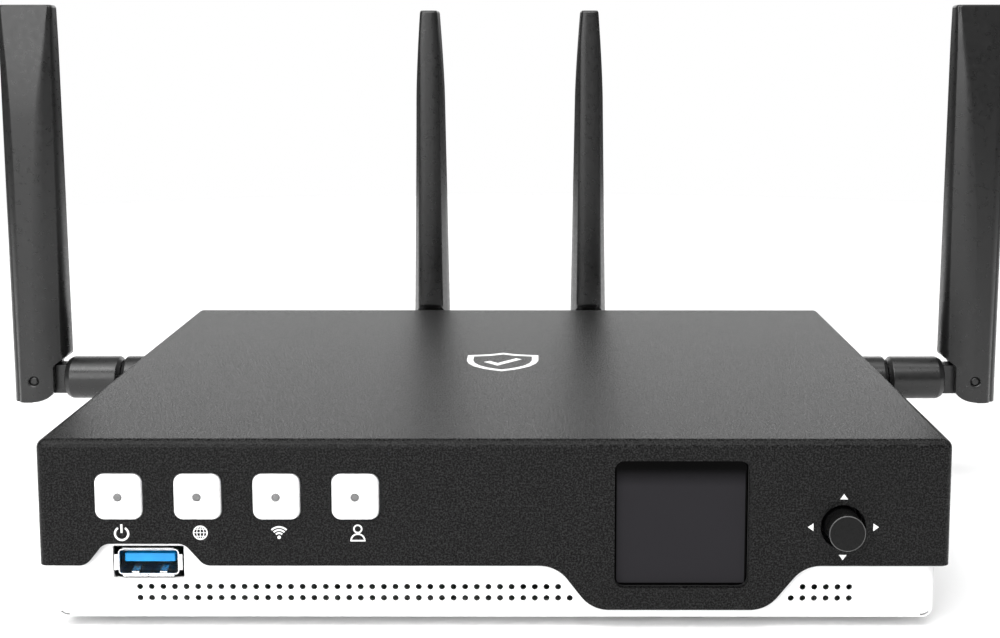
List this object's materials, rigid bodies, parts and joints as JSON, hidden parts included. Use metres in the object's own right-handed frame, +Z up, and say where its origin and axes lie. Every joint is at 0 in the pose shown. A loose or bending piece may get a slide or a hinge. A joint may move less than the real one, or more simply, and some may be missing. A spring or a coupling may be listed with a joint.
{
  "type": "firewall appliance",
  "caption": "Desktop network firewall in a folded steel case with display, joystick, push keys, sockets and folding paddle antennas.",
  "frame": {"origin": "centre of the footprint on the surface that the feet stand on", "axes": "+X to the right seen from the front, +Y towards the rear, +Z up"},
  "size_m": [0.2764, 0.195, 0.136],
  "materials": {
    "cover_black": "fine-grained powder coat",
    "tray_white": "smooth powder coat",
    "circuit_board": "solder mask",
    "black_plastic": "moulded",
    "display_glass": "smoked",
    "chip": "moulded",
    "steel": "plated",
    "screw_black": "black oxide",
    "knob_black": "satin",
    "usb_blue": "moulded",
    "aluminium": "extruded",
    "rubber": "matt",
    "brass": "machined",
    "cap_white": "satin",
    "lens_grey": "translucent",
    "antenna_black": "satin moulded"
  },
  "bodies": {
    "case": {"top_cover": "cover_black", "base_tray": "tray_white", "front_board": "circuit_board", "display_bezel": "black_plastic", "display_glass": "display_glass", "display_panel": "chip", "joystick_base": "black_plastic", "usb_shell": "steel", "usb_tongue": "usb_blue", "reset_switch": "chip", "main_board": "circuit_board", "processor": "chip", "wifi_card": "circuit_board", "heat_sink": "aluminium", "network_port_block": "steel", "power_inlet": "black_plastic", "key_switch_power": "black_plastic", "key_switch_network": "black_plastic", "key_switch_wireless": "black_plastic", "key_switch_user": "black_plastic", "cover_screw_front_left": "screw_black", "cover_screw_front_right": "screw_black", "cover_screw_rear_left": "screw_black", "cover_screw_rear_right": "screw_black", "foot_front_left": "rubber", "foot_front_right": "rubber", "foot_rear_left": "rubber", "foot_rear_right": "rubber", "antenna_jack_left": "brass", "antenna_jack_right": "brass", "antenna_jack_rear_left": "brass", "antenna_jack_rear_right": "brass", "coupling_nut_left": "antenna_black", "coupling_nut_right": "antenna_black", "coupling_nut_rear_left": "antenna_black", "coupling_nut_rear_right": "antenna_black"},
    "key_power": {"button_cap_power": "cap_white", "button_lens_power": "lens_grey"},
    "key_network": {"button_cap_network": "cap_white", "button_lens_network": "lens_grey"},
    "key_wireless": {"button_cap_wireless": "cap_white", "button_lens_wireless": "lens_grey"},
    "key_user": {"button_cap_user": "cap_white", "button_lens_user": "lens_grey"},
    "stick_ring": {"joystick_ring": "steel"},
    "stick_stem": {"joystick_stem": "steel"},
    "stick_knob": {"joystick_knob": "knob_black"},
    "reset": {"reset_button": "black_plastic"},
    "knuckle_left": {"knuckle_left": "antenna_black"},
    "blade_left": {"paddle_left": "antenna_black", "pivot_pin_left": "antenna_black"},
    "knuckle_right": {"knuckle_right": "antenna_black"},
    "blade_right": {"paddle_right": "antenna_black", "pivot_pin_right": "antenna_black"},
    "knuckle_rear_left": {"knuckle_rear_left": "antenna_black"},
    "blade_rear_left": {"paddle_rear_left": "antenna_black", "pivot_pin_rear_left": "antenna_black"},
    "knuckle_rear_right": {"knuckle_rear_right": "antenna_black"},
    "blade_rear_right": {"paddle_rear_right": "antenna_black", "pivot_pin_rear_right": "antenna_black"}
  },
  "joints": [
    {"name": "press_power", "type": "slide", "parent": "case", "child": "key_power", "axis": [0, 1, 0], "range_m": [0, 0.0005], "stiffness_N_per_m": 1500},
    {"name": "press_network", "type": "slide", "parent": "case", "child": "key_network", "axis": [0, 1, 0], "range_m": [0, 0.0005], "stiffness_N_per_m": 1500},
    {"name": "press_wireless", "type": "slide", "parent": "case", "child": "key_wireless", "axis": [0, 1, 0], "range_m": [0, 0.0005], "stiffness_N_per_m": 1500},
    {"name": "press_user", "type": "slide", "parent": "case", "child": "key_user", "axis": [0, 1, 0], "range_m": [0, 0.0005], "stiffness_N_per_m": 1500},
    {"name": "stick_up_down", "type": "hinge", "parent": "case", "child": "stick_ring", "pos_m": [0.0744, -0.08765, 0.0233], "axis": [1, 0, 0], "range_deg": [-5, 5], "stiffness_Nm_per_rad": 0.05},
    {"name": "stick_left_right", "type": "hinge", "parent": "stick_ring", "child": "stick_stem", "pos_m": [0.0744, -0.08765, 0.0233], "axis": [0, 0, 1], "range_deg": [-5, 5], "stiffness_Nm_per_rad": 0.05},
    {"name": "stick_press", "type": "slide", "parent": "stick_stem", "child": "stick_knob", "axis": [0, 1, 0], "range_m": [0, 0.00035], "stiffness_N_per_m": 1500},
    {"name": "press_reset", "type": "slide", "parent": "case", "child": "reset", "axis": [0, -1, 0], "range_m": [0, 0.0005], "stiffness_N_per_m": 1500},
    {"name": "swivel_left", "type": "hinge", "parent": "case", "child": "knuckle_left", "pos_m": [-0.1075, 0.00885, 0.032], "axis": [-1, 0, 0], "range_deg": [-90, 90]},
    {"name": "fold_left", "type": "hinge", "parent": "knuckle_left", "child": "blade_left", "pos_m": [-0.131, 0.00885, 0.032], "axis": [0, -1, 0], "range_deg": [0, 90]},
    {"name": "swivel_right", "type": "hinge", "parent": "case", "child": "knuckle_right", "pos_m": [0.1075, 0.00885, 0.032], "axis": [1, 0, 0], "range_deg": [-90, 90]},
    {"name": "fold_right", "type": "hinge", "parent": "knuckle_right", "child": "blade_right", "pos_m": [0.131, 0.00885, 0.032], "axis": [0, 1, 0], "range_deg": [0, 90]},
    {"name": "swivel_rear_left", "type": "hinge", "parent": "case", "child": "knuckle_rear_left", "pos_m": [-0.0262, 0.06685, 0.032], "axis": [0, -1, 0], "range_deg": [-10, 90]},
    {"name": "fold_rear_left", "type": "hinge", "parent": "knuckle_rear_left", "child": "blade_rear_left", "pos_m": [-0.0262, 0.09035, 0.032], "axis": [-1, 0, 0], "range_deg": [0, 90]},
    {"name": "swivel_rear_right", "type": "hinge", "parent": "case", "child": "knuckle_rear_right", "pos_m": [0.0262, 0.06685, 0.032], "axis": [0, 1, 0], "range_deg": [-10, 90]},
    {"name": "fold_rear_right", "type": "hinge", "parent": "knuckle_rear_right", "child": "blade_rear_right", "pos_m": [0.0262, 0.09035, 0.032], "axis": [-1, 0, 0], "range_deg": [0, 90]}
  ]
}
